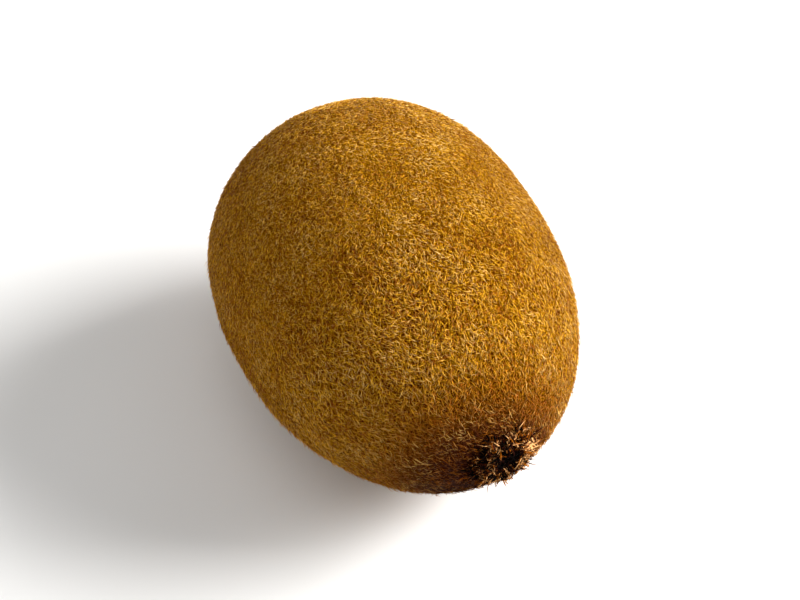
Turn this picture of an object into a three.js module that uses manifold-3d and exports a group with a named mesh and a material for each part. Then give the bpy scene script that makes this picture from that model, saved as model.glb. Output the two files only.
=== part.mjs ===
// A golden kiwi fruit, as picked, lying on its side on a small flat spot.
//
// The berry is one solid. It is an oval with a fuller stem end and a slimmer blossom end, a little
// wider than it is thick. Two dry pieces of the flower are still on it: the calyx, whose sepals lie
// round the scar of the fruit stalk in a shallow basin, and the styles, which stand in the pit of a
// low collar at the other end.
//
// Units are millimetres. +X points to the blossom end and +Z up.

import * as THREE from "three";
import { mergeVertices } from "three/addons/utils/BufferGeometryUtils.js";
import Module from "manifold-3d";

// ---------- driving dimensions ----------

const LENGTH = 71.5; // from the stem end to the top of the collar at the blossom end
const WIDTH = 54.5; // across, along Y
const THICKNESS = 52; // on its flatter side, along Z, before the flat spot is taken off
const FLAT_DEPTH = 0.4; // what the flat spot takes off the underside

const STEM_FULLNESS = 2.4; // 2 is an ellipse, and more is squarer in the shoulder
const BLOSSOM_FULLNESS = 2.16;
const BELLY_SHIFT = 1.6; // how far the widest ring lies from the middle, towards the stem end

// Broad, shallow facets round the fruit: how many, how high as a share of the radius, and where.
const FACETS = [
  { count: 2, height: 0.006, phase: 0.9 },
  { count: 3, height: 0.009, phase: 2.1 },
  { count: 5, height: 0.005, phase: 0.4 },
];
const FACET_TWIST = 0.7; // radians by which they turn from one end to the other

const BASIN = { radius: 8, depth: 2.1 }; // the dip at the stem end
const COLLAR = { foot: 6.8, crown: 3.3, height: 0.9 }; // the low rise at the blossom end
const PIT = { radius: 3, depth: 1.1 }; // the hollow inside the collar

const GAP = 0.35; // what the dry pieces keep clear of the skin

const CALYX = {
  reaches: [6.1, 5.2, 5.9, 4.6, 5.5], // from the middle to each sepal's tip
  waist: 2.7, // from the middle to the notch between two sepals
  thick: 0.6,
  curl: 0.6, // how far a sepal's tip lifts off the skin
  keel: 0.25, // a sepal's middle stands this much prouder than its edges
};
const SCAR = { radius: 1.9, height: 0.8, dimple: 0.6 }; // where the stalk came away

const STYLES = {
  count: 28,
  seed: 11,
  root: 0.36, // radius of a style where it grows
  tip: 0.3,
  shortest: 2.9, // from the middle to the tip
  longest: 5.6,
  arch: 0.6, // how high a style bows over the skin
  sway: 0.35, // radians that its tip may stray to either side
  sides: 4,
  steps: 4,
};
const BOSS = { radius: 1.9, height: 1 }; // the woody cushion that the styles grow from

// ---------- fineness ----------

const AROUND = 52; // faces round the fruit
const END_ANGLE = 20; // degrees from each pole where the rings lie close
const END_RINGS = 12;
const BODY_RINGS = 28;

const SKIN = { color: 0xb0782f, roughness: 0.7, metalness: 0 };
const DRY_SEPAL = { color: 0x5a4126, roughness: 0.85, metalness: 0 };
const DRY_STYLE = { color: 0x3a2413, roughness: 0.9, metalness: 0 };

const GOLDEN_ANGLE = Math.PI * (3 - Math.sqrt(5));

const wasm = await Module();
wasm.setup();

// ---------- the rule of the skin ----------

function smooth(from, to, value) {
  return THREE.MathUtils.smoothstep((value - from) / (to - from), 0, 1);
}

// How far the skin is pushed along X near the stem end, at a distance from the axis.
function basinPush(fromAxis) {
  return BASIN.depth * (1 - smooth(0, BASIN.radius, fromAxis));
}

// How far it is pushed along X near the blossom end.
function collarPush(fromAxis) {
  const rise = COLLAR.height * (1 - smooth(COLLAR.crown, COLLAR.foot, fromAxis));
  return rise - PIT.depth * (1 - smooth(0.2 * PIT.radius, PIT.radius, fromAxis));
}

function facets(turn, along) {
  let share = 0;
  for (const { count, height, phase } of FACETS)
    share += height * Math.cos(count * (turn + FACET_TWIST * along) + phase);
  return share * (1 - along * along);
}

// Moves a point of the unit sphere, whose poles are on the X axis, to its place on the skin.
function toSkin(p) {
  const along = THREE.MathUtils.clamp(p.x, -1, 1);
  const ring = Math.sqrt(Math.max(1 - along * along, 0));
  const fullness = along < 0 ? STEM_FULLNESS : BLOSSOM_FULLNESS;
  const girth = Math.sqrt(Math.max(1 - Math.abs(along) ** fullness, 0));
  const swell = ring > 1e-6 ? (girth / ring) * (1 + facets(Math.atan2(p.z, p.y), along)) : 0;
  const y = (WIDTH / 2) * p.y * swell;
  const z = (THICKNESS / 2) * p.z * swell;
  const fromAxis = Math.hypot(y, z);
  const halfBody = (LENGTH - COLLAR.height) / 2;
  const push = along < 0 ? basinPush(fromAxis) : collarPush(fromAxis);
  return p.set(halfBody * along - BELLY_SHIFT * ring * ring + push, y, z);
}

// ---------- solids ----------

function bare(geometry) {
  geometry.deleteAttribute("normal");
  geometry.deleteAttribute("uv");
  return mergeVertices(geometry, 1e-4);
}

function solidOf(geometry) {
  const merged = bare(geometry);
  const solid = new wasm.Manifold(
    new wasm.Mesh({
      numProp: 3,
      vertProperties: new Float32Array(merged.attributes.position.array),
      triVerts: new Uint32Array(merged.index.array),
    }),
  );
  if (solid.volume() < 0) throw new Error("a solid is inside out");
  return solid;
}

function geometryOf(solid) {
  const { vertProperties, triVerts } = solid.getMesh();
  return new THREE.BufferGeometry()
    .setAttribute("position", new THREE.BufferAttribute(vertProperties, 3))
    .setIndex(new THREE.BufferAttribute(triVerts, 1))
    .toNonIndexed();
}

function moveVertices(geometry, rule) {
  const positions = geometry.attributes.position;
  const p = new THREE.Vector3();
  for (let i = 0; i < positions.count; i++) {
    rule(p.fromBufferAttribute(positions, i));
    positions.setXYZ(i, p.x, p.y, p.z);
  }
  return geometry;
}

// A unit sphere with its poles on the X axis, and its rings close together near them.
function poledSphere() {
  const end = THREE.MathUtils.degToRad(END_ANGLE);
  const angles = [];
  for (let i = 0; i < END_RINGS; i++) angles.push((end * i) / END_RINGS);
  for (let i = 0; i <= BODY_RINGS; i++) angles.push(end + ((Math.PI - 2 * end) * i) / BODY_RINGS);
  for (let i = END_RINGS - 1; i >= 0; i--) angles.push(Math.PI - (end * i) / END_RINGS);
  const profile = angles.map((a, i) => {
    const onAxis = i === 0 || i === angles.length - 1;
    return new THREE.Vector2(onAxis ? 0 : Math.sin(a), -Math.cos(a));
  });
  return new THREE.LatheGeometry(profile, AROUND).rotateZ(-Math.PI / 2);
}

function fruitSolid() {
  const whole = solidOf(moveVertices(poledSphere(), toSkin));
  const block = new THREE.BoxGeometry(LENGTH * 2, WIDTH * 2, THICKNESS);
  block.translate(0, 0, whole.boundingBox().min[2] + FLAT_DEPTH - THICKNESS / 2);
  return whole.subtract(solidOf(block));
}

// A disc of unit radius on the X axis: its vertices carry x = -1 on the outer face, 1 on the inner
// face, and 0 on the rim, for a rule to move.
function unitDisc(rings, around) {
  const profile = [];
  for (let i = 0; i <= rings; i++) profile.push(new THREE.Vector2(i / rings, -1));
  profile.push(new THREE.Vector2(1.03, 0));
  for (let i = rings; i >= 0; i--) profile.push(new THREE.Vector2(i / rings, 1));
  return new THREE.LatheGeometry(profile, around).rotateZ(-Math.PI / 2);
}

// Where the skin is, along X, at a distance from the axis near either end.
function skinAt(fromAxis, end) {
  const fullness = end < 0 ? STEM_FULLNESS : BLOSSOM_FULLNESS;
  const girth = fromAxis / ((WIDTH + THICKNESS) / 4);
  const along = (1 - girth * girth) ** (1 / fullness);
  const halfBody = (LENGTH - COLLAR.height) / 2;
  const push = end < 0 ? basinPush(fromAxis) : collarPush(fromAxis);
  return end * halfBody * along - BELLY_SHIFT * (1 - along * along) + push;
}

// The scar is a low round knob with a hollow top. Its foot is sunk in the middle of the sepals.
function scarSolid() {
  const { radius, height, dimple } = SCAR;
  const foot = 0.8 * CALYX.thick;
  const top = CALYX.thick + height;
  const profile = [
    [0, foot],
    [radius, foot],
    [radius, top - 0.3 * height],
    [0.85 * radius, top],
    [0.6 * radius, top],
    [0.35 * radius, top - dimple],
    [0, top - dimple],
  ].map(([r, h]) => new THREE.Vector2(r, h));
  const knob = new THREE.LatheGeometry(profile, 24).rotateZ(Math.PI / 2);
  return solidOf(knob.translate(skinAt(0, -1) - GAP, 0, 0));
}

// The sepals are the lobes of one thin disc that follows the basin.
function calyxSolid() {
  const { reaches, waist, thick, curl, keel } = CALYX;
  const disc = moveVertices(unitDisc(7, 10 * reaches.length), (p) => {
    const side = p.x;
    const turn = Math.atan2(p.z, p.y);
    const out = Math.min(Math.hypot(p.y, p.z), 1);
    const sepal = (turn / (2 * Math.PI) + 1) * reaches.length;
    const fromNotch = 1 - 2 * Math.abs((sepal % 1) - 0.5); // 0 in a notch, 1 down a sepal's middle
    const reach = reaches[Math.floor(sepal) % reaches.length];
    const fromAxis = out * (waist + (reach - waist) * fromNotch ** 0.6);
    const inner = skinAt(fromAxis, -1) - GAP - curl * out ** 3 * fromNotch;
    const outer = thick + keel * fromNotch * out;
    const x = inner - (outer * (1 - side)) / 2;
    return p.set(x, Math.cos(turn) * fromAxis, Math.sin(turn) * fromAxis);
  });
  return solidOf(disc).add(scarSolid());
}

// Repeatable numbers from 0 to 1.
function seeded(seed) {
  let state = seed;
  return () => {
    state = (state * 16807) % 2147483647;
    return state / 2147483647;
  };
}

// A tapered strand along a path. It starts as a cylinder whose height runs from root to tip.
function strand(path, rootRadius, tipRadius, sides, steps) {
  const straight = new THREE.CylinderGeometry(tipRadius, rootRadius, 1, sides, steps);
  const frames = path.computeFrenetFrames(steps);
  return moveVertices(straight, (p) => {
    const step = Math.round((p.y + 0.5) * steps);
    const across = frames.binormals[step].clone().multiplyScalar(p.x);
    const over = frames.normals[step].clone().multiplyScalar(p.z);
    return p.copy(path.getPointAt(step / steps)).add(across).add(over);
  });
}

// Each style leaves the cushion, bows over the collar and comes down close to the skin.
function stylePath({ turn, start, reach, arch, sway }) {
  const clear = GAP + 1.7 * STYLES.root;
  const points = [0, 0.3, 0.65, 1].map((share) => {
    const fromAxis = start + (reach - start) * share;
    const underneath = Math.max(skinAt(fromAxis, 1), skinAt(COLLAR.crown, 1) * (1 - share) ** 2);
    const x = underneath + clear + arch * Math.sin(Math.PI * share ** 0.8);
    const bearing = turn + sway * share;
    return new THREE.Vector3(x, Math.cos(bearing) * fromAxis, Math.sin(bearing) * fromAxis);
  });
  return new THREE.CatmullRomCurve3(points);
}

// The cushion is a low dome in the pit.
function cushionSolid() {
  const dome = [
    [0, 0],
    [0.7, 0],
    [1, 0.3],
    [0.95, 0.7],
    [0.6, 1],
    [0, 1.05],
  ].map(([r, h]) => new THREE.Vector2(r * BOSS.radius, h * BOSS.height));
  const cushion = new THREE.LatheGeometry(dome, 20).rotateZ(-Math.PI / 2);
  return solidOf(cushion.translate(skinAt(0, 1) + GAP, 0, 0));
}

function stylesSolid() {
  const { count, seed, root, tip, shortest, longest, arch, sway, sides, steps } = STYLES;
  const draw = seeded(seed);
  let solid = cushionSolid();
  for (let i = 0; i < count; i++) {
    const path = stylePath({
      turn: i * GOLDEN_ANGLE,
      start: BOSS.radius * (0.25 + 0.4 * draw()),
      reach: shortest + (longest - shortest) * draw(),
      arch: arch * (0.3 + 0.7 * draw()),
      sway: sway * (2 * draw() - 1),
    });
    solid = solid.add(solidOf(strand(path, root, tip, sides, steps)));
  }
  return solid;
}

// ---------- the fruit ----------

function piece(name, solid, finish) {
  const material = new THREE.MeshStandardMaterial({ ...finish, name });
  const mesh = new THREE.Mesh(geometryOf(solid), material);
  mesh.geometry.computeVertexNormals();
  mesh.name = name;
  return mesh;
}

const kiwi = new THREE.Group();
kiwi.add(
  piece("fruit", fruitSolid(), SKIN),
  piece("dry_calyx", calyxSolid(), DRY_SEPAL),
  piece("dry_styles", stylesSolid(), DRY_STYLE),
);

// The origin is in the middle of the fruit's footprint, on the surface that it rests on.
const box = new THREE.Box3().setFromObject(kiwi);
const middle = box.getCenter(new THREE.Vector3());
kiwi.position.set(-middle.x, -middle.y, -box.min.z);

export default kiwi;
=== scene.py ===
# %% [markdown]
# # A golden kiwi fruit
#
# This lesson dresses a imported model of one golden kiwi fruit. The fruit is a berry, a little
# larger than a hen's egg, with bronze skin under a short golden fur. At one end is the dry calyx,
# round the scar where the stalk came away. At the other end the dry styles of the flower stand in
# a tuft of dark hair.
#
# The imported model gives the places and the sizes. Everything here is built round it, in metres,
# and nothing in it is moved.

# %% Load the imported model
import math

import bpy
import numpy as np
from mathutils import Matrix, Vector


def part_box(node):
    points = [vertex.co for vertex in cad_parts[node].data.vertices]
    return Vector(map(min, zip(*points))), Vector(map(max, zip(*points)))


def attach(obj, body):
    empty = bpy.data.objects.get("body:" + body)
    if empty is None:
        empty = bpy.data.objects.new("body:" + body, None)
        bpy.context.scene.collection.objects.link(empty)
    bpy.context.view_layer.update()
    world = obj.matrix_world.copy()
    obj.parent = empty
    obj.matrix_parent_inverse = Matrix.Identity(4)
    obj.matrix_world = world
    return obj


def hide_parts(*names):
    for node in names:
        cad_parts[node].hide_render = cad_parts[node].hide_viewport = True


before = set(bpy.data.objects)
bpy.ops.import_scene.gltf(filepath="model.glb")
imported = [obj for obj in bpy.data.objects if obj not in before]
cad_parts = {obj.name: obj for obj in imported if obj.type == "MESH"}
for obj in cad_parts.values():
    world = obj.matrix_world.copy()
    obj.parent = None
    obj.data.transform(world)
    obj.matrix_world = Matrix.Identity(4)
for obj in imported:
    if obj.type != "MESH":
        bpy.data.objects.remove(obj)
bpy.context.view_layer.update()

MM = 0.001
FRUIT_LOW, FRUIT_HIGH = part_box("fruit")
print("the packed fruit measures, in mm:", [round(side / MM, 1) for side in FRUIT_HIGH - FRUIT_LOW])

# %% [markdown]
# ## Sums inside a node tree
#
# A fruit's shape, its fur and its colours all follow rules, and in Blender a rule is a tree of
# nodes. A tree could be drawn by hand, but a sum of ten terms is then ten boxes and twenty wires.
# Here two small classes stand for an output of a node, one for a number and one for a vector.
# Each sign between them adds the node it stands for, so that a rule reads as a plain sum and
# still ends as nodes.

# %% Find a socket and plug a value into it
def socket_of(sockets, key):
    """The socket with this index, or the first one in use with this name."""
    if isinstance(key, int):
        return sockets[key]
    return next(socket for socket in sockets if socket.enabled and socket.name == key)


def plug(slot, value):
    """Links an output to a socket, or sets the socket to a fixed value."""
    if isinstance(value, Output):
        slot.id_data.links.new(value.socket, slot)
    else:
        slot.default_value = value


def add(tree, kind, inputs, **settings):
    """Adds a node of one kind, with its settings and its inputs, which are named or numbered."""
    node = tree.nodes.new(kind)
    for name, value in settings.items():
        setattr(node, name, value)
    for key, value in inputs.items():
        plug(socket_of(node.inputs, key), value)
    return node


# %% An output of a node
class Output:
    """One output socket of a node."""

    def __init__(self, node, key=0):
        self.socket = socket_of(node.outputs, key)
        self.tree = self.socket.id_data


# %% A number that adds nodes
class Number(Output):
    """A number in a tree. Each sign adds a Math node."""

    def maths(self, operation, *others):
        values = dict(enumerate((self, *others)))
        return Number(add(self.tree, "ShaderNodeMath", values, operation=operation))

    def __add__(self, other):
        return self.maths("ADD", other)

    def __sub__(self, other):
        return self.maths("SUBTRACT", other)

    def __mul__(self, other):
        return self.maths("MULTIPLY", other)

    def __truediv__(self, other):
        return self.maths("DIVIDE", other)

    def __pow__(self, other):
        return self.maths("POWER", other)

    def __rsub__(self, other):
        return self * -1 + other

    def __abs__(self):
        return self.maths("ABSOLUTE")

    __radd__, __rmul__ = __add__, __mul__

    def at_least(self, other):
        return self.maths("MAXIMUM", other)

    def cos(self):
        return self.maths("COSINE")

    def sin(self):
        return self.maths("SINE")

    def smooth(self, start, end, low=0.0, high=1.0):
        """Goes from low at start to high at end, gently at both, and stays there."""
        values = {"Value": self, "From Min": start, "From Max": end, "To Min": low, "To Max": high}
        return Number(add(self.tree, "ShaderNodeMapRange", values, interpolation_type="SMOOTHSTEP"))


# %% A vector that adds nodes
class Arrow(Output):
    """A vector in a tree. Each sign adds a Vector Math node."""

    def maths(self, operation, *others):
        values = dict(enumerate((self, *others)))
        return add(self.tree, "ShaderNodeVectorMath", values, operation=operation)

    def __add__(self, other):
        return Arrow(self.maths("ADD", other))

    def __sub__(self, other):
        return Arrow(self.maths("SUBTRACT", other))

    def __mul__(self, number):
        node = self.maths("SCALE")
        plug(node.inputs["Scale"], number)
        return Arrow(node)

    def dot(self, other):
        return Number(self.maths("DOT_PRODUCT", other), "Value")

    def cross(self, other):
        return Arrow(self.maths("CROSS_PRODUCT", other))

    def unit(self):
        return Arrow(self.maths("NORMALIZE"))

    def distance(self, other):
        return Number(self.maths("DISTANCE", other), "Value")

    def parts(self):
        node = add(self.tree, "ShaderNodeSeparateXYZ", {0: self})
        return [Number(node, axis) for axis in "XYZ"]


# %% Vectors from numbers, and noise
def arrow(x, y, z):
    """A vector made of three numbers, of which the first is a Number."""
    return Arrow(add(x.tree, "ShaderNodeCombineXYZ", {"X": x, "Y": y, "Z": z}))


def noise(at, size, detail=2.0, distortion=0.0):
    """A cloudy number near 0.5, in patches of about this size in metres."""
    values = {"Vector": at, "Scale": 1 / size, "Detail": detail, "Distortion": distortion}
    return Number(add(at.tree, "ShaderNodeTexNoise", values), 0)


def drift(at, size):
    """A cloudy vector near zero, no part of which is much more than half a unit long."""
    cloud = Arrow(add(at.tree, "ShaderNodeTexNoise", {"Vector": at, "Scale": 1 / size}), "Color")
    return cloud - (0.5, 0.5, 0.5)


# %% [markdown]
# ## Trees that make meshes
#
# Each Geometry Nodes tree below has a named input for every size it uses, so that the same tree
# can be run again with others. A modifier knows its inputs by their identifiers, and they are set
# before the tree first runs. The result is read back as a plain mesh, and the modifier goes,
# because a finished piece has to stand alone.

# %% Start a tree and end it
def new_tree(name, sizes):
    """An empty tree. Returns it, its source geometry, and a Number for each named size."""
    tree = bpy.data.node_groups.new(name, "GeometryNodeTree")
    tree.interface.new_socket("Geometry", in_out="OUTPUT", socket_type="NodeSocketGeometry")
    tree.interface.new_socket("Geometry", in_out="INPUT", socket_type="NodeSocketGeometry")
    for label, value in sizes.items():
        kind = "NodeSocketInt" if isinstance(value, int) else "NodeSocketFloat"
        tree.interface.new_socket(label, in_out="INPUT", socket_type=kind)
    given = tree.nodes.new("NodeGroupInput")
    return tree, Output(given, "Geometry"), {label: Number(given, label) for label in sizes}


def end_tree(tree, geometry, material):
    """Every tree ends by making its copies real and giving them their material."""
    real = add(tree, "GeometryNodeRealizeInstances", {"Geometry": geometry})
    done = add(tree, "GeometryNodeSetMaterial", {"Geometry": Output(real), "Material": material})
    exit_node = tree.nodes.new("NodeGroupOutput")
    plug(exit_node.inputs["Geometry"], Output(done))


def smoothed(tree, geometry):
    return Output(add(tree, "GeometryNodeSetShadeSmooth", {0: geometry}))


# %% Run a tree
def run_tree(tree, sizes, name, source=None):
    """Runs a tree on a copy of the source piece, and returns what it makes as a plain mesh."""
    mesh = source.data.copy() if source else bpy.data.meshes.new(name)
    piece = bpy.data.objects.new(name, mesh)
    bpy.context.scene.collection.objects.link(piece)
    modifier = piece.modifiers.new(tree.name, "NODES")
    modifier.node_group = tree
    for item in tree.interface.items_tree:
        if item.in_out == "INPUT" and item.name in sizes:
            modifier[item.identifier] = sizes[item.name]
    graph = bpy.context.evaluated_depsgraph_get()
    made = bpy.data.meshes.new_from_object(piece.evaluated_get(graph))
    piece.modifiers.remove(modifier)
    piece.data = made
    made.name = name
    made.calc_loop_triangles()
    print(f"{name}: {len(made.loop_triangles)} triangles")
    return piece


# %% Read and write inside a tree
def store(tree, geometry, name, value, domain="POINT"):
    """Writes a number into the mesh under a name, for a later node or a material to read."""
    values = {"Geometry": geometry, "Name": name, "Value": value}
    return Output(add(tree, "GeometryNodeStoreNamedAttribute", values, domain=domain))


def read(tree, name):
    return Number(add(tree, "GeometryNodeInputNamedAttribute", {"Name": name}), "Attribute")


def position(tree):
    return Arrow(tree.nodes.new("GeometryNodeInputPosition"))


def random(tree, low, high, seed, number=None):
    """A random number for each element, or for each value of a number that they share."""
    values = {"Min": low, "Max": high, "Seed": seed}
    if number is not None:
        values["ID"] = number
    return Number(add(tree, "FunctionNodeRandomValue", values), "Value")


# %% [markdown]
# ## Colours
#
# The skin of a golden kiwi fruit is a warm bronze, paler where the fur catches the light, and
# nearly black in the tuft, where part of the black is painted shade. These few colours are given as
# they look on a screen, and turned into the linear values that shaders work in.

# %% Name the colours
def screen(red, green, blue):
    """A screen colour, 0 to 255, as the linear colour of a shader."""
    shares = [part / 255 for part in (red, green, blue)]
    linear = [s / 12.92 if s <= 0.04045 else ((s + 0.055) / 1.055) ** 2.4 for s in shares]
    return (*linear, 1.0)


BRONZE = screen(158, 102, 4)
DEEP_BRONZE = screen(62, 22, 0)
OCHRE = screen(178, 122, 14)
UMBER = screen(60, 19, 5)
SOOT = screen(7, 3, 2)
STRAW = screen(254, 216, 138)
GOLD = screen(226, 166, 28)
RUSSET = screen(144, 76, 4)
BARK = screen(112, 70, 28)
HUSK = screen(74, 42, 12)
PAPER = screen(206, 152, 86)
TAN = screen(226, 168, 106)
print("the skin's linear colour:", [round(part, 3) for part in BRONZE[:3]])


# %% Start a material
def new_material(name, **uniform):
    """A material with one shader. What is the same all over is set on the shader's sockets."""
    material = bpy.data.materials.new(name)
    material.use_nodes = True
    shader = material.node_tree.nodes["Principled BSDF"]
    for label, value in uniform.items():
        shader.inputs[label.replace("_", " ")].default_value = value
    return material, material.node_tree, shader


def end_material(material, shader, colour):
    """Plugs the mixed colour in, and says how many nodes the material took."""
    plug(shader.inputs["Base Color"], colour)
    print(f"{material.name}: {len(material.node_tree.nodes)} nodes")
    return material


# %% Read a place, blend colours and raise a relief
def object_place(tree):
    """Where a point is, in the piece's own coordinates."""
    return Arrow(tree.nodes.new("ShaderNodeTexCoord"), "Object")


def blend(first, second, share):
    """One colour or the other, or part of both, as the share goes from 0 to 1."""
    values = {"Factor": share, "A": first, "B": second}
    return Output(add(share.tree, "ShaderNodeMix", values, data_type="RGBA"), "Result")


def surface(tree, name):
    """A number that the mesh carries, such as how far along a hair a point is."""
    node = tree.nodes.new("ShaderNodeAttribute")
    node.attribute_name = name
    return Number(node, "Fac")


def bump(shader, height, depth):
    """Gives a shader a relief of this depth in metres."""
    tree = shader.id_data
    node = add(tree, "ShaderNodeBump", {"Height": height, "Distance": depth})
    plug(shader.inputs["Normal"], Output(node, "Normal"))


# %% [markdown]
# ## The skin's colour
#
# Under the fur the skin is not one brown. It is mottled in patches a centimetre wide, streaked a
# little from end to end, and covered with a felt of fine threads that has dark gaps. Towards the
# blossom end it goes darker, and that dark zone is centred off the tip towards the underside as
# painted shade. Round the tuft the skin is painted almost black, as painted shade for its pit. An
# image could hold all that, but then it would need a map and would blur close by. Noise in the
# piece's own coordinates stays sharp at any distance and has no seam.

# %% Find the two ends of the fruit
TIP = Vector((FRUIT_HIGH.x, 0, (FRUIT_LOW.z + FRUIT_HIGH.z) / 2))
STEM = Vector((FRUIT_LOW.x, 0, TIP.z))
# the blossom end's own darkening, centred off the tip towards the underside and away from the key
# lamp, which is painted shade
DARK_END_AND_SHADE = TIP + Vector((0, -3.6 * MM, -1.5 * MM))  # the middle of the dark zone, beside the tip
# painted shade: the middle of the tuft, where its pit lies in shade, is painted black
PIT_SHADE_MIDDLE = TIP + Vector((0, 0.2 * MM, MM))  # the black middle of the tuft
print("the tip and the stem end, in mm:", [[round(c / MM, 1) for c in end] for end in (TIP, STEM)])

# %% Zones that fade, and a ragged edge for them
RAG_SIZE, RAG = 2.2 * MM, 2.4 * MM


def near(place, middle, core, edge):
    """1 within the core's distance of the middle of a zone, fading to 0 at the edge."""
    return place.distance(tuple(middle)).smooth(core, edge, 1.0, 0.0)


def ragged(place):
    """The place, shifted along the fruit by up to two millimetres here and there."""
    return place + arrow(noise(place, RAG_SIZE) * RAG, 0.0, 0.0)


# %% Mix the skin's material
MOTTLE_SIZE = 11 * MM
STREAK_SIZE, STREAK_STRETCH = 1.1 * MM, 0.22
THREAD_SIZES = (0.4 * MM, 0.6 * MM, 0.9 * MM)
THREAD_SHIFT = 0.1  # keeps the layers of threads from following one another
THREAD_EDGES = (0.004, 0.04)
PORE_SIZE = 0.25 * MM
SKIN_RELIEF = 0.1 * MM


def threads(place, size, shift):
    """Thin wavy lines, 1 on a line and 0 off it, where a cloudy number passes its middle value."""
    cloud = noise(place + (shift, shift, shift), size, distortion=0.6)
    return abs(cloud - 0.5).smooth(*THREAD_EDGES, 1.0, 0.0)


def skin_material():
    material, tree, shader = new_material("bronze_skin", Roughness=0.8, Specular_IOR_Level=0.0)
    place = object_place(tree)
    mottle = noise(place, MOTTLE_SIZE, detail=4.0).smooth(0.36, 0.66)
    x, y, z = place.parts()
    streaks = noise(arrow(x * STREAK_STRETCH, y, z), STREAK_SIZE, detail=3.0).smooth(0.4, 0.68)
    layers = [threads(place, size, THREAD_SHIFT * turn) for turn, size in enumerate(THREAD_SIZES)]
    felt = layers[0].at_least(layers[1]).at_least(layers[2])
    colour = blend(BRONZE, OCHRE, mottle)
    colour = blend(colour, DEEP_BRONZE, streaks * 0.3)
    gaps = x.smooth(-5 * MM, 16 * MM, 0.85, 1.0)
    colour = blend(colour, DEEP_BRONZE, (1 - felt) * gaps)
    colour = blend(colour, DEEP_BRONZE, near(place, STEM, 5 * MM, 15 * MM) * 0.7)
    end = ragged(place)
    # darker bronze and umber round the blossom end: the fruit's own browning there, moved towards the
    # underside as painted shade
    colour = blend(colour, DEEP_BRONZE, near(end, DARK_END_AND_SHADE, 9 * MM, 26 * MM) * (1 - felt * 0.3))
    colour = blend(colour, UMBER, near(end, DARK_END_AND_SHADE, 5 * MM, 11 * MM))
    # painted shade: the skin round the styles is painted near black for the shade in the pit
    colour = blend(colour, SOOT, near(end, TIP, 4 * MM, 7.5 * MM) * 0.9)
    bump(shader, felt + streaks * 0.5 + noise(place, PORE_SIZE) * 0.4, SKIN_RELIEF)
    return end_material(material, shader, colour)


SKIN = skin_material()

# %% [markdown]
# ## The berry
#
# The berry follows a rule. It is an oval whose stem half is squarer in the shoulder than its
# blossom half, and whose widest ring lies a little towards the stem. Three shallow waves run
# round it, which leave broad facets. The stem end dips in a basin, and the blossom end rises in a
# low collar with a pit. Each point of a unit sphere is moved by that rule, so the sphere's even
# triangles stay even on the fruit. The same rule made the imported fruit, so the two agree.

# %% Sizes of the berry
BERRY = {
    "Length": 71.5 * MM,
    "Width": 54.5 * MM,
    "Thickness": 52 * MM,
    "Stem fullness": 2.4,
    "Blossom fullness": 2.16,
    "Belly shift": 1.6 * MM,
    "Facet twist": 0.7,
    "Basin radius": 8 * MM,
    "Basin depth": 2.1 * MM,
    "Collar foot": 6.8 * MM,
    "Collar crown": 3.3 * MM,
    "Collar height": 0.9 * MM,
    "Pit radius": 3 * MM,
    "Pit depth": 1.1 * MM,
    "Unevenness": 0.35 * MM,
}
FACETS = [(2, 0.006, 0.9), (3, 0.009, 2.1), (5, 0.005, 0.4)]  # how many, how high, and where
LUMP_SIZE, GRAIN_SIZE = 8 * MM, 2.5 * MM
GRAIN_SHARE = 0.22  # how much of the unevenness is fine grain
BERRY_LEVELS = 7
print("the berry's rule has", len(BERRY), "sizes and", len(FACETS), "waves")


# %% The rule of the skin
def facets(turn, along, size):
    """The waves round the fruit, as a share of its girth, which fade out towards both ends."""
    share = 0
    for count, height, phase in FACETS:
        wave = ((turn + along * size["Facet twist"]) * count + phase).cos()
        share = share + wave * height
    return share * (1 - along * along)


def skin_point(on_sphere, size):
    """Where a point of the unit sphere lies on the skin."""
    along, y, z = on_sphere.parts()
    stem = along.maths("LESS_THAN", 0)
    ring = (1 - along * along).at_least(0) ** 0.5
    fuller = size["Stem fullness"] - size["Blossom fullness"]
    fullness = size["Blossom fullness"] + fuller * stem
    girth = (1 - abs(along) ** fullness).at_least(0) ** 0.5
    swell = girth / ring.at_least(1e-5) * (1 + facets(z.maths("ARCTAN2", y), along, size))
    y = y * swell * size["Width"] * 0.5
    z = z * swell * size["Thickness"] * 0.5
    from_axis = (y * y + z * z) ** 0.5
    basin = size["Basin depth"] * from_axis.smooth(0.0, size["Basin radius"], 1.0, 0.0)
    collar = from_axis.smooth(size["Collar crown"], size["Collar foot"], 1.0, 0.0)
    rise = size["Collar height"] * collar
    bowl = from_axis.smooth(size["Pit radius"] * 0.2, size["Pit radius"], 1.0, 0.0)
    pit = size["Pit depth"] * bowl
    half = (size["Length"] - size["Collar height"]) * 0.5
    push = stem * basin + (1 - stem) * (rise - pit)
    return arrow(along * half - size["Belly shift"] * ring * ring + push, y, z)


# %% The berry's tree
def unit_ball(tree, levels):
    ball = {"Radius": 1.0, "Subdivisions": levels}
    return Output(add(tree, "GeometryNodeMeshIcoSphere", ball))


def moved(tree, geometry, place):
    """The geometry, with each of its points put at its new place."""
    return Output(add(tree, "GeometryNodeSetPosition", {"Geometry": geometry, "Position": place}))


def berry_tree():
    tree, _, size = new_tree("berry", BERRY)
    skin = skin_point(position(tree), size)
    lumps = noise(skin, LUMP_SIZE, detail=1.0) + noise(skin, GRAIN_SIZE) * GRAIN_SHARE
    lumps = lumps - 0.5 * (1 + GRAIN_SHARE)
    uneven = skin + skin.unit() * (lumps * size["Unevenness"])
    berry = moved(tree, unit_ball(tree, BERRY_LEVELS), uneven)
    end_tree(tree, smoothed(tree, berry), SKIN)
    return tree


# %% Make the berry and settle it in its place
def points_of(mesh):
    at = np.empty(len(mesh.vertices) * 3, np.float32)
    mesh.vertices.foreach_get("co", at)
    return at.reshape(-1, 3)


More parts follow.
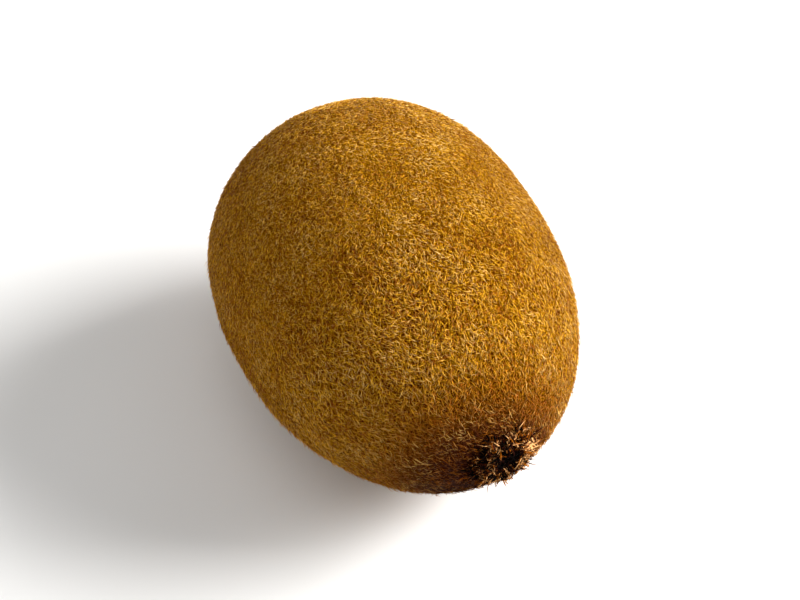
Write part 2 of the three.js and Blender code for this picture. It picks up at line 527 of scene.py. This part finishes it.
def settle(piece, low, high):
    """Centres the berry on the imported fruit, level with its top, and presses its underside flat."""
    at = points_of(piece.data)
    own_low, own_high = at.min(0), at.max(0)
    at[:, :2] += (np.array(low + high) - own_low - own_high)[:2] / 2
    at[:, 2] += high.z - own_high[2]
    at[:, 2] = at[:, 2].clip(0)
    piece.data.vertices.foreach_set("co", at.ravel())
    piece.data.update()
    print("the berry measures, in mm:", (np.ptp(at, 0) / MM).round(1))


skin = run_tree(berry_tree(), BERRY, "skin")
settle(skin, FRUIT_LOW, FRUIT_HIGH)
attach(skin, "root")
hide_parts("fruit")

# %% [markdown]
# ## The fur
#
# The fur is about a millimetre long, lies low, and is brushed towards the blossom end, with
# swirls a few millimetres wide. Hair curves would be the quick way, but they are not meshes. Here
# each hair is a slim cone with three sides, bent so that its tip comes back towards the skin.
# Many thousands of copies are scattered over the berry, each turned by its own angle, and a fine
# noise then curls them. Each carries a random tint, and each of its points knows how far along
# the hair it lies, for the colour to use.
#
# Two kinds of hair make up the fur. The down is sparse, and long enough to be seen hair by hair,
# so it has two segments and can curve. Between it lies the fuzz, which is shorter and many times
# denser. One segment is enough there, and keeps a hair at four triangles.
#
# To paint the colours into a picture a map is needed, and an automatic layout has no room there
# for so many hairs. So the tree lays them out itself, in rows. Each hair has a square of its own,
# and stands in it as seen from its side.

# %% One hair
HAIR_SIDES = 3
SIDE_VIEW = 1.7  # turns the map's view of a hair, so that it sees no side edge on
FOOT_TILT = 0.1  # and tips it a little, so that it sees the foot too


def hair_mesh(tree, size, segments):
    """One bent hair, standing on the origin and leaning along X."""
    cone = {"Vertices": HAIR_SIDES, "Side Segments": segments, "Radius Top": 0.0}
    cone |= {"Radius Bottom": size["Width"] * 0.5, "Depth": size["Length"]}
    hair = Output(add(tree, "GeometryNodeMeshCone", cone, fill_type="NGON"), "Mesh")
    x, y, z = position(tree).parts()
    along = z / size["Length"]
    hair = store(tree, hair, "along", along)
    hair = store(tree, hair, "across", (x * SIDE_VIEW + y) / size["Width"])
    hair = store(tree, hair, "upwards", along + y / size["Width"] * FOOT_TILT)
    bow = size["Bow"] * size["Length"] * along * along
    bent = {"Geometry": hair, "Offset": arrow(bow, 0.0, 0.0)}
    return smoothed(tree, Output(add(tree, "GeometryNodeSetPosition", bent)))


# %% Which way a hair points
SWIRL_SIZE, SWIRL_STRENGTH = 6 * MM, 4
LIFT_SPREAD = (0.5, 1.5)


def hair_turn(tree, size, normal):
    """Which way a hair points: leaning along the fruit, strayed by its own angle, off the skin."""
    along = (normal * (normal.dot((1, 0, 0)) * -1) + (1, 0, 0)).unit()
    across = normal.cross(along)
    swirl = (noise(position(tree), SWIRL_SIZE, detail=1.0) - 0.5) * SWIRL_STRENGTH
    stray = swirl + random(tree, -1.0, 1.0, size["Seed"] + 1) * size["Stray"]
    lift = size["Lift"] * random(tree, *LIFT_SPREAD, size["Seed"] + 2)
    flat = along * stray.cos() + across * stray.sin()
    leaning = flat * lift.cos() + normal * lift.sin()
    axes = {"Primary Axis": leaning, "Secondary Axis": normal * -1}
    node = add(tree, "FunctionNodeAxesToRotation", axes, primary_axis="Z", secondary_axis="X")
    return Output(node, "Rotation")


# %% Lay the hairs out in a map
MAP_ACROSS, MAP_UPWARDS, MAP_MARGIN = 0.45, 0.8, 0.1  # as shares of a hair's square


def laid_out(tree, hairs):
    """Makes the hairs real, and gives each a square of its own in a map of rows, with a margin."""
    count = add(tree, "GeometryNodeAttributeDomainSize", {"Geometry": hairs}, component="INSTANCES")
    side = (Number(count, "Instance Count") ** 0.5).maths("CEIL")
    number = Number(tree.nodes.new("GeometryNodeInputIndex"))
    column = number.maths("MODULO", side)
    hairs = store(tree, hairs, "column", column, "INSTANCE")
    hairs = store(tree, hairs, "row", (number - column) / side, "INSTANCE")
    hairs = Output(add(tree, "GeometryNodeRealizeInstances", {"Geometry": hairs}))
    across = (read(tree, "column") + read(tree, "across") * MAP_ACROSS + 0.5) / side
    upwards = (read(tree, "row") + read(tree, "upwards") * MAP_UPWARDS + MAP_MARGIN) / side
    values = {"Geometry": hairs, "Name": "OFBake", "Value": arrow(across, upwards, 0.0)}
    kinds = {"data_type": "FLOAT2", "domain": "CORNER"}
    return Output(add(tree, "GeometryNodeStoreNamedAttribute", values, **kinds))


# %% The fur's tree
HAIR_SPREAD = (0.55, 1.35)  # the shortest and the longest hair, as shares of the length
STEM_LENGTH, TIP_LENGTH = 0.95, 1.15  # the hair grows longer towards the tip
CURL_SIZE = 0.45 * MM
FLOOR_GAP = 0.03 * MM


def fur_tree(name, sizes, segments, patch, material):
    """Scatters hairs over a skin. The patch gives how dense they are at a place, from 0 to 1."""
    tree, skin, size = new_tree(name, sizes)
    where = {"Mesh": skin, "Density": size["Density"] * patch(position(tree)), "Seed": size["Seed"]}
    roots = add(tree, "GeometryNodeDistributePointsOnFaces", where)
    longer = position(tree).parts()[0].smooth(-5 * MM, 20 * MM, STEM_LENGTH, TIP_LENGTH)
    copies = {
        "Points": Output(roots, "Points"),
        "Instance": hair_mesh(tree, size, segments),
        "Rotation": hair_turn(tree, size, Arrow(roots, "Normal")),
        "Scale": random(tree, *HAIR_SPREAD, size["Seed"] + 3) * longer,
    }
    hairs = Output(add(tree, "GeometryNodeInstanceOnPoints", copies))
    hairs = store(tree, hairs, "tint", random(tree, 0.0, 1.0, size["Seed"] + 4), "INSTANCE")
    hairs = laid_out(tree, hairs)
    place = position(tree)
    curl = drift(place, CURL_SIZE) * (size["Curl"] * size["Length"] * read(tree, "along"))
    x, y, z = (place + curl).parts()
    above = arrow(x, y, z.at_least(FLOOR_GAP))
    end_tree(tree, moved(tree, hairs, above), material)
    return tree


# %% Mix the fur's material
SHEEN = screen(255, 222, 170)
RUSTY_PATCH = 7 * MM
PALE_TINTS = (0.56, 0.68)  # hairs with more tint than this stay pale at the dark ends


def fur_material():
    gloss = {"Roughness": 0.5, "Specular_IOR_Level": 0.08, "Specular_Tint": SHEEN}
    material, tree, shader = new_material("golden_fur", **gloss)
    place = object_place(tree)
    along, tint = surface(tree, "along"), surface(tree, "tint")
    colour = blend(GOLD, STRAW, (along * 0.4 + tint * 0.6).smooth(0.35, 0.85))
    colour = blend(RUSSET, colour, along.smooth(0.0, 0.4))
    colour = blend(colour, RUSSET, (tint + noise(place, RUSTY_PATCH) * 0.8).smooth(0.95, 1.3))
    darker = tint.smooth(*PALE_TINTS, 1.0, 0.02)
    colour = blend(colour, RUSSET, near(place, STEM, 6 * MM, 18 * MM) * darker)
    # darker russet and umber hair round the blossom end: the fruit's own browning, centred towards
    # the underside as painted shade
    colour = blend(colour, RUSSET, near(place, DARK_END_AND_SHADE, 9 * MM, 26 * MM) * darker)
    colour = blend(colour, RUSSET, near(place, DARK_END_AND_SHADE, 6 * MM, 14 * MM) * 0.75)
    colour = blend(colour, UMBER, near(ragged(place), DARK_END_AND_SHADE, 7 * MM, 17 * MM) * darker)
    return end_material(material, shader, colour)


# %% Sizes of the down and the fuzz
DOWN = {
    "Density": 2.2 / MM**2,
    "Length": 1.1 * MM,
    "Width": 0.12 * MM,
    "Bow": 0.35,
    "Lift": 0.55,
    "Stray": 0.9,
    "Curl": 0.9,
    "Seed": 3,
}
FUZZ = {
    "Density": 16.5 / MM**2,
    "Length": 0.8 * MM,
    "Width": 0.1 * MM,
    "Bow": 0.3,
    "Lift": 0.4,
    "Stray": 1.3,
    "Curl": 1.5,
    "Seed": 5,
}
FUR = fur_material()


# %% Where the fur grows
THICKET_SIZE = 9 * MM
MIDDLE = (-12 * MM, 12 * MM)  # the stretch where the stem half passes into the blossom half


def fur_patch(place):
    """Fur in denser and thinner patches, but none in the tuft or the basin, or on the flat spot."""
    patchy = noise(place, THICKET_SIZE, detail=3.0).smooth(0.3, 0.7, 0.85, 1.0)
    bare = near(place, TIP, 3.5 * MM, 6.5 * MM) + near(place, STEM, 2.5 * MM, 5 * MM)
    off_the_floor = place.parts()[2].smooth(0.0, 0.4 * MM)
    return patchy * (1 - bare) * off_the_floor


def down_patch(place):
    """Twice as much down on the blossom half as on the stem half."""
    return fur_patch(place) * place.parts()[0].smooth(*MIDDLE, 0.5, 1.0)


def fuzz_patch(place):
    """A little less fuzz on the blossom half, where there is more down and the skin is darker."""
    return fur_patch(place) * place.parts()[0].smooth(*MIDDLE, 1.0, 0.75)


# %% Grow the fur
SEED_STEP = 10  # from one piece's seed to the next, past the five seeds that a piece uses


def grow(name, sizes, segments, patch, material, pieces=1):
    """Grows one kind of hair on the skin, shared out over a few pieces."""
    tree = fur_tree(name, sizes, segments, patch, material)
    for number in range(pieces):
        share = {"Density": sizes["Density"] / pieces}
        share["Seed"] = sizes["Seed"] + SEED_STEP * number
        hairs = run_tree(tree, sizes | share, f"{name}_{number + 1}", skin)
        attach(hairs, "root")


grow("down", DOWN, 2, down_patch, FUR)
grow("fuzz", FUZZ, 1, fuzz_patch, FUR, pieces=4)

# %% [markdown]
# ## The tuft and the ring of bristles
#
# Round the styles the hair is longer, denser and darker, and it stands up in a tangle with a
# black middle, which is painted shade for the pit it stands in. Its hairs are also painted paler
# towards +Y, the side the key lamp lights, which is painted light. Round the calyx there is a ring
# of brown bristles. The same tree grows both, with other sizes and another patch.

# %% Mix the bristles' material
TUFT_PATCH = 2 * MM
# painted light: the tuft's hairs are painted paler towards +Y, the side the key lamp lights
PAINTED_LIGHT_ALONG_Y = 0.035 / MM  # how much paler the tuft's hairs grow along Y


def bristle_material():
    material, tree, shader = new_material("dark_bristle", Roughness=0.7, Specular_IOR_Level=0.02)
    place, along = object_place(tree), surface(tree, "along")
    tint = surface(tree, "tint") + (noise(place, TUFT_PATCH, detail=1.0) - 0.5) * 1.4
    # painted shade: the hairs are painted black round the tuft's shaded middle
    tint = tint - near(place, PIT_SHADE_MIDDLE, 1.7 * MM, 3.0 * MM) * 0.9 + place.parts()[1] * PAINTED_LIGHT_ALONG_Y
    colour = blend(SOOT, UMBER, tint.smooth(0.15, 0.45))
    colour = blend(colour, RUSSET, tint.smooth(0.43, 0.57) * along.smooth(0.0, 0.5))
    colour = blend(colour, TAN, tint.smooth(0.65, 0.8) * along.smooth(0.0, 0.4))
    colour = blend(colour, RUSSET, near(place, STEM, 10 * MM, 14 * MM) * 0.6)
    return end_material(material, shader, colour)


# %% Grow the tuft and the ring
TUFT = {
    "Density": 19 / MM**2,
    "Length": 2.0 * MM,
    "Width": 0.165 * MM,
    "Bow": 0.4,
    "Lift": 0.42,
    "Stray": 3.1,
    "Curl": 2.1,
    "Seed": 13,
}
RING = TUFT | {"Density": 10 / MM**2, "Length": 1.7 * MM, "Lift": 0.6, "Seed": 9}


def tuft_patch(place):
    return near(ragged(place), TIP, 2.8 * MM, 6.4 * MM)


def ring_patch(place):
    return near(place, STEM, 5 * MM, 9 * MM)


BRISTLE = bristle_material()
grow("tuft", TUFT, 4, tuft_patch, BRISTLE)
grow("ring", RING, 3, ring_patch, BRISTLE)

# %% [markdown]
# ## The dry styles
#
# The flower had some three dozen styles, set round a cushion like spokes. On the fruit they are
# dry and dark, bow over the collar, and end in a small knob. A tree makes one straight line for
# each and numbers it. The number sets the bearing, by the golden angle so that no two lie
# together, and seeds the rest. A ray sent at the skin says how high each point has to lie. The
# lines then become tubes.

# %% Sizes of the styles
STYLES = {
    "Count": 36,
    "Shortest": 2.4 * MM,
    "Longest": 5.2 * MM,
    "Thickness": 0.3 * MM,
    "Arch": 0.5 * MM,
    "Sway": 0.6,
    "Cushion radius": 1.9 * MM,
    "Cushion height": 0.6 * MM,
    "Seed": 11,
}
STYLE_POINTS, STYLE_SIDES = 14, 7
GOLDEN_ANGLE = math.pi * (3 - math.sqrt(5))
WANDER_SIZE, WANDER = 1.5 * MM, 1.6 * MM
TAPER = 0.5  # how much thinner a style is at its end
KNOB, KNOB_PLACE = 0.55, (0.86, 0.96)
print("one style turns from the next by", round(math.degrees(GOLDEN_ANGLE), 1), "degrees")


# %% Rays and numbered copies
RAY_START, RAY_LENGTH = 60 * MM, 50 * MM


def skin_height(tree, skin, y, z, end):
    """Where a ray along X meets the skin, from outside the blossom end (1) or the stem end (-1)."""
    ray = {"Target Geometry": skin, "Source Position": arrow(y * 0 + end * RAY_START, y, z)}
    ray |= {"Ray Direction": (-end, 0, 0), "Ray Length": RAY_LENGTH}
    return Arrow(add(tree, "GeometryNodeRaycast", ray), "Hit Position").parts()[0]


def numbered_copies(tree, count, shape):
    """Copies of a shape, made real, each of which knows its number."""
    places = Output(add(tree, "GeometryNodePoints", {"Count": count}))
    places = store(tree, places, "number", Number(tree.nodes.new("GeometryNodeInputIndex")))
    copies = {"Points": places, "Instance": shape}
    copies = Output(add(tree, "GeometryNodeInstanceOnPoints", copies))
    return Output(add(tree, "GeometryNodeRealizeInstances", {"Geometry": copies}))


def between(tree, size, seed, number):
    """A random length for each copy, between the shortest and the longest."""
    spare = size["Longest"] - size["Shortest"]
    return size["Shortest"] + spare * random(tree, 0, 1, seed, number)


# %% The styles' lines
def style_lines(tree, skin, size):
    """Bends straight lines into styles."""
    line = {"Start": (0, 0, 0), "End": (1, 0, 0)}
    line = Output(add(tree, "GeometryNodeCurvePrimitiveLine", line))
    line = {"Curve": line, "Count": STYLE_POINTS}
    line = Output(add(tree, "GeometryNodeResampleCurve", line))
    lines = numbered_copies(tree, size["Count"], line)
    number = read(tree, "number")
    along = Number(tree.nodes.new("GeometryNodeSplineParameter"), "Factor")
    seed = size["Seed"]
    start = size["Cushion radius"] * random(tree, 0.15, 0.75, seed, number)
    reach = between(tree, size, seed + 1, number)
    sway = size["Sway"] * random(tree, -1, 1, seed + 2, number) * along
    bearing = number * GOLDEN_ANGLE + sway
    from_axis = start + (reach - start) * along
    y, z = bearing.cos() * from_axis, bearing.sin() * from_axis + TIP.z
    arch = size["Arch"] * random(tree, 0.3, 1.2, seed + 3, number) * (along * math.pi).sin()
    rooted = size["Cushion height"] * (1 - along) ** 2
    x = skin_height(tree, skin, y, z, 1) + size["Thickness"] * 0.5 + arch + rooted
    place = arrow(x, y, z)
    bent = moved(tree, lines, place + drift(place, WANDER_SIZE) * (along * WANDER))
    return store(tree, bent, "along", along)


# %% The cushion
BALL_LEVELS = 5
CUSHION_SINK = 0.1 * MM
KNOBBLE_SIZE, KNOBBLE = 0.6 * MM, 0.9 * MM


def cushion(tree, skin, size):
    """The knobbly cushion that the styles stand on."""
    ball = store(tree, unit_ball(tree, BALL_LEVELS), "along", 0.0)
    x, y, z = position(tree).parts()
    radius, height = size["Cushion radius"], size["Cushion height"]
    pole = skin_height(tree, skin, x * 0, x * 0 + TIP.z, 1)
    at = arrow(x * height + pole - CUSHION_SINK, y * radius, z * radius + TIP.z)
    outwards = Arrow(tree.nodes.new("GeometryNodeInputNormal"))
    knobbly = at + outwards * ((noise(at, KNOBBLE_SIZE) - 0.5) * KNOBBLE)
    return moved(tree, ball, knobbly)


# %% The styles' tree
def joined(tree, first, second):
    both = tree.nodes.new("GeometryNodeJoinGeometry")
    plug(both.inputs[0], first)
    plug(both.inputs[0], second)
    return smoothed(tree, Output(both))


def styles_tree(material):
    """Sweeps a circle along each line, thinner towards its end, and with a knob there."""
    tree, skin, size = new_tree("styles", STYLES)
    lines = style_lines(tree, skin, size)
    along = read(tree, "along")
    taper = 1 - along * TAPER + along.smooth(*KNOB_PLACE) * KNOB
    circle = {"Resolution": STYLE_SIDES, "Radius": size["Thickness"] * 0.5}
    profile = Output(add(tree, "GeometryNodeCurvePrimitiveCircle", circle))
    tubes = {"Curve": lines, "Profile Curve": profile, "Scale": taper, "Fill Caps": True}
    tubes = Output(add(tree, "GeometryNodeCurveToMesh", tubes))
    end_tree(tree, joined(tree, tubes, cushion(tree, skin, size)), material)
    return tree


# %% Make the styles
FIBRE_SIZE, FIBRE_RELIEF = 0.35 * MM, 0.06 * MM


def style_material():
    material, tree, shader = new_material("dry_style", Roughness=0.7, Specular_IOR_Level=0.02)
    place, along = object_place(tree), surface(tree, "along")
    fibres = noise(place, FIBRE_SIZE, detail=3.0).smooth(0.38, 0.66)
    colour = blend(SOOT, UMBER, fibres * along.smooth(0.1, 0.7, 0.2, 1.0))
    colour = blend(colour, TAN, along.smooth(0.6, 1.0) * fibres * 0.8)
    bump(shader, fibres, FIBRE_RELIEF)
    return end_material(material, shader, colour)


styles = run_tree(styles_tree(style_material()), STYLES, "styles", skin)
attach(styles, "root")
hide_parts("dry_styles")

# %% [markdown]
# ## The dry calyx
#
# Five sepals lie round the scar of the stalk, papery and brown, with their tips curled off the
# skin. Each starts as a thin closed box that is finely divided, so it stays closed however it is
# bent. Its place along the box and across it give where it lies. The scar is a sphere pressed
# into a low knob with a hollow top.

# %% Sizes of the calyx
CALYX = {
    "Sepals": 5,
    "Shortest": 4.7 * MM,
    "Longest": 6.1 * MM,
    "Half width": 2.1 * MM,
    "Paper": 0.16 * MM,
    "Curl": 0.9 * MM,
    "Clearance": 0.35 * MM,
    "Scar radius": 1.9 * MM,
    "Scar height": 1.9 * MM,
    "Seed": 4,
}
CUP, CREASE = 0.35 * MM, 0.5 * MM
OVERLAP = 0.18 * MM  # how far every other sepal lies above the rest
SEPAL_ACROSS, SEPAL_ALONG = 17, 26
print("each sepal is a box of", SEPAL_ACROSS, "by", SEPAL_ALONG, "points, on both of its faces")


# %% The sepals
def sepals(tree, skin, size):
    """Thin closed boxes, shaped into sepals that follow the skin and curl off it at the tip."""
    box = {"Size": (2, 1, 1), "Vertices X": SEPAL_ACROSS, "Vertices Y": SEPAL_ALONG}
    box["Vertices Z"] = 2
    blade = Output(add(tree, "GeometryNodeMeshCube", box), "Mesh")
    x, y, _ = position(tree).parts()
    blade = store(tree, store(tree, blade, "across", x), "along", y + 0.5)
    blades = numbered_copies(tree, size["Sepals"], blade)
    number, across, along = read(tree, "number"), read(tree, "across"), read(tree, "along")
    seed = size["Seed"]
    reach = between(tree, size, seed, number)
    torn = 1 + (noise(position(tree) + arrow(number * 3, 0.0, 0.0), 0.25) - 0.5) * 0.5 * along
    out = reach * (0.28 + along * 0.72) * torn
    half = size["Half width"] * (1 - along**2.4) ** 0.7 * (0.6 + along * 0.4) * torn
    turn = number + random(tree, -0.12, 0.12, seed + 1, number)
    bearing = turn * (2 * math.pi) / size["Sepals"]
    side = across * half
    y = bearing.cos() * out - bearing.sin() * side
    z = bearing.sin() * out + bearing.cos() * side + TIP.z
    curl = size["Curl"] * along**3 * random(tree, 0.4, 1.3, seed + 2, number)
    cup = across * across * along * CUP
    crease = (noise(arrow(across * 2, along * 0.5, number), 0.4) - 0.5) * CREASE * along
    layer = number.maths("MODULO", 2) * OVERLAP
    paper = (position(tree).parts()[2] + 0.5) * size["Paper"] * (1 - across * across * 0.5)
    lift = size["Clearance"] + curl + cup + crease + layer + paper
    x = skin_height(tree, skin, y, z, -1) - lift
    return moved(tree, blades, arrow(x, y, z))


# %% The scar of the stalk
SCAR_SINK = 0.8 * MM
SCAR_GRAIN_SIZE, SCAR_GRAIN = 0.5 * MM, 0.5 * MM


def scar(tree, skin, size):
    """A sphere pressed into a low knob, with a hollow top and a rough face."""
    ball = store(tree, unit_ball(tree, BALL_LEVELS), "across", 0.0)
    ball = store(tree, ball, "along", 0.1)
    x, y, z = position(tree).parts()
    from_axis = (y * y + z * z) ** 0.5
    radius, height = size["Scar radius"], size["Scar height"]
    rim = (1 - from_axis**6).at_least(0) ** 0.5
    hollow = from_axis.smooth(0.2, 0.65, 0.35, 0.0)
    outer = x.maths("LESS_THAN", 0)
    pole = skin_height(tree, skin, x * 0, x * 0 + TIP.z, -1)
    x = pole + SCAR_SINK - outer * height * (rim - hollow)
    at = arrow(x, y * radius, z * radius + TIP.z)
    grain = (noise(at, SCAR_GRAIN_SIZE, detail=3.0) - 0.5) * SCAR_GRAIN
    return moved(tree, ball, at + arrow(grain, 0.0, 0.0))


# %% Make the calyx
BLOTCH_SIZE, VEIN_RELIEF = 1.4 * MM, 0.08 * MM


def calyx_tree(material):
    tree, skin, size = new_tree("calyx", CALYX)
    both = joined(tree, sepals(tree, skin, size), scar(tree, skin, size))
    end_tree(tree, both, material)
    return tree


def sepal_material():
    material, tree, shader = new_material("dry_sepal", Roughness=0.75, Specular_IOR_Level=0.05)
    along, across = surface(tree, "along"), surface(tree, "across")
    veins = noise(arrow(across * 6, along * 1.2, 0.0), 1.0).smooth(0.4, 0.62)
    blotch = noise(object_place(tree), BLOTCH_SIZE, detail=4.0).smooth(0.35, 0.65)
    colour = blend(BARK, HUSK, blotch)
    colour = blend(colour, PAPER, veins * along.smooth(0.2, 1.0) * 0.45)
    bump(shader, veins + blotch * 0.5, VEIN_RELIEF)
    return end_material(material, shader, colour)


calyx = run_tree(calyx_tree(sepal_material()), CALYX, "calyx", skin)
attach(calyx, "root")
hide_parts("dry_calyx")

# %% [markdown]
# ## The floor, the light and the camera
#
# A pale floor and soft lamps show the fur without hard shadows. The key lamp stands on the right,
# a weaker one near the camera opens the shadows, and one low on the left keeps the far side from
# going black. The camera looks down on the fruit through a long lens, which keeps its oval true.

# %% Lay the floor
CHALK = screen(240, 239, 237)
DULL_CHALK = screen(233, 232, 229)
FLOOR_PATCH = 0.05
FLOOR_HALF = 2.5


def floor_material():
    material, tree, shader = new_material("pale_floor", Roughness=0.7)
    colour = blend(CHALK, DULL_CHALK, noise(object_place(tree), FLOOR_PATCH))
    return end_material(material, shader, colour)


corners = [(-FLOOR_HALF, -FLOOR_HALF, 0), (FLOOR_HALF, -FLOOR_HALF, 0)]
corners += [(FLOOR_HALF, FLOOR_HALF, 0), (-FLOOR_HALF, FLOOR_HALF, 0)]
floor_mesh = bpy.data.meshes.new("floor")
floor_mesh.from_pydata(corners, [], [(0, 1, 2, 3)])
floor_mesh.materials.append(floor_material())
floor = bpy.data.objects.new("floor", floor_mesh)
bpy.context.scene.collection.objects.link(floor)

# %% Set the camera
AZIMUTH, ELEVATION = math.radians(61.5), math.radians(55.5)
LENS = 200
DISTANCE = 0.72
AIM = Vector((0, 0, TIP.z))


def from_angles(azimuth, elevation):
    """The direction from the fruit to an eye at these angles."""
    flat = math.cos(elevation)
    return Vector((math.sin(azimuth) * flat, -math.cos(azimuth) * flat, math.sin(elevation)))


back = from_angles(AZIMUTH, ELEVATION)
camera = bpy.data.objects.new("camera", bpy.data.cameras.new("camera"))
camera.data.lens = LENS
camera.location = AIM + back * DISTANCE
camera.rotation_euler = (-back).to_track_quat("-Z", "Y").to_euler()
bpy.context.scene.collection.objects.link(camera)
bpy.context.scene.camera = camera
print("the camera stands at, in metres:", [round(part, 3) for part in camera.location])

# %% Hang the lamps
RIGHT = Vector((math.cos(AZIMUTH), math.sin(AZIMUTH), 0))
UP = back.cross(RIGHT)


def lamp(name, right, up, towards, distance, size, power):
    """A square lamp in a direction given from the camera's side, aimed at the fruit."""
    direction = (RIGHT * right + UP * up + back * towards).normalized()
    light = bpy.data.lights.new(name, "AREA")
    light.size, light.energy = size, power
    holder = bpy.data.objects.new(name, light)
    holder.location = AIM + direction * distance
    holder.rotation_euler = (-direction).to_track_quat("-Z", "Y").to_euler()
    bpy.context.scene.collection.objects.link(holder)
    print(f"{name}: {power} W, {distance} m from the fruit")


lamp("key", right=1.1, up=0.55, towards=0.35, distance=1.0, size=0.6, power=30.5)
lamp("fill", right=-0.3, up=0.6, towards=1.0, distance=1.2, size=1.0, power=3)
lamp("bounce", right=-1.0, up=0.0, towards=0.2, distance=1.2, size=0.4, power=5)

# %% Light the room
ROOM_LIGHT = 0.35
WHITE = (1, 1, 1, 1)
world = bpy.data.worlds.new("room")
world.use_nodes = True
background = world.node_tree.nodes["Background"]
background.inputs["Color"].default_value = WHITE
background.inputs["Strength"].default_value = ROOM_LIGHT
bpy.context.scene.world = world
bpy.context.scene.view_settings.view_transform = "Standard"
print("the white room gives", ROOM_LIGHT, "of full light from all sides")
